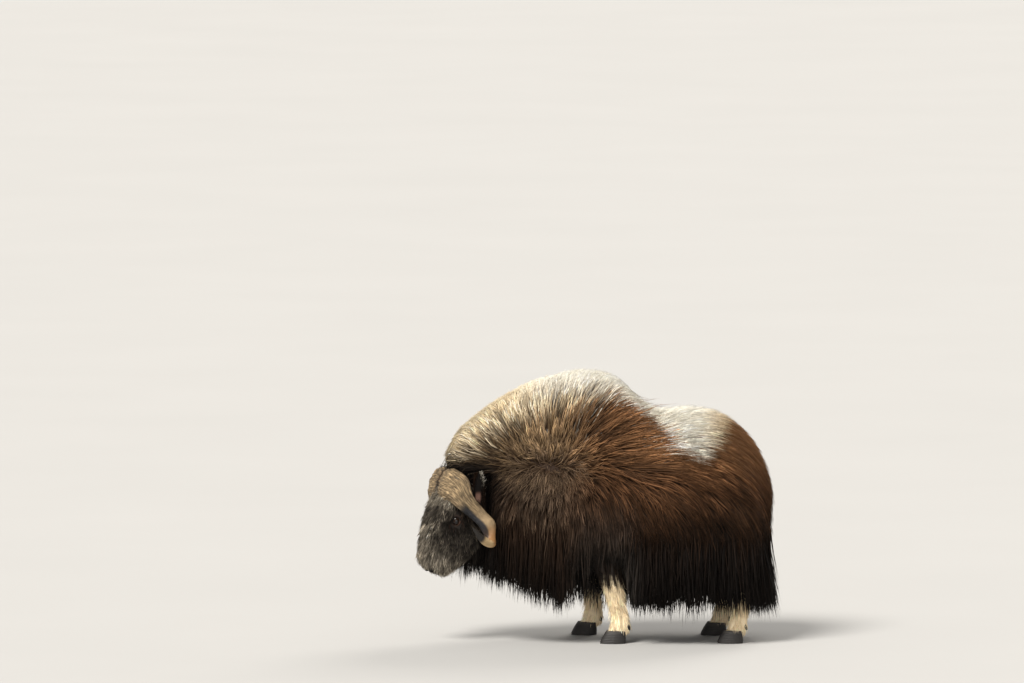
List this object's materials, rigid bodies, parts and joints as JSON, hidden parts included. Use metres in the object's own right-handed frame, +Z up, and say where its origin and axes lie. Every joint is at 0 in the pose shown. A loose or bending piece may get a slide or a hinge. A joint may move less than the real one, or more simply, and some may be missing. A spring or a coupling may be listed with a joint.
{
  "type": "muskox",
  "caption": "Life-size standing muskox bull with lowered head, hooked horns and a long hanging coat, as one still model.",
  "frame": {"origin": "on the ground under the middle of the model's box", "axes": "+X towards the rump, so the animal faces -X; +Y to its right side; +Z up"},
  "size_m": [1.8518, 0.8136, 1.407],
  "materials": {
    "coat": "long shaggy hair, matt",
    "face": "short dense hair, matt",
    "stocking": "short pale hair, matt",
    "horn": "fibrous horn, satin",
    "hoof": "horn, dull",
    "eye": "wet, glossy"
  },
  "bodies": {
    "root": {"neck": "coat", "torso": "coat", "tail": "coat", "leg_front_left": "stocking", "hoof_front_left_inner": "hoof", "hoof_front_left_outer": "hoof", "leg_front_right": "stocking", "hoof_front_right_inner": "hoof", "hoof_front_right_outer": "hoof", "leg_hind_left": "stocking", "hoof_hind_left_inner": "hoof", "hoof_hind_left_outer": "hoof", "leg_hind_right": "stocking", "hoof_hind_right_inner": "hoof", "hoof_hind_right_outer": "hoof", "head": "face", "horn_left": "horn", "ear_left": "face", "eye_left": "eye", "horn_right": "horn", "ear_right": "face", "eye_right": "eye"}
  },
  "joints": []
}
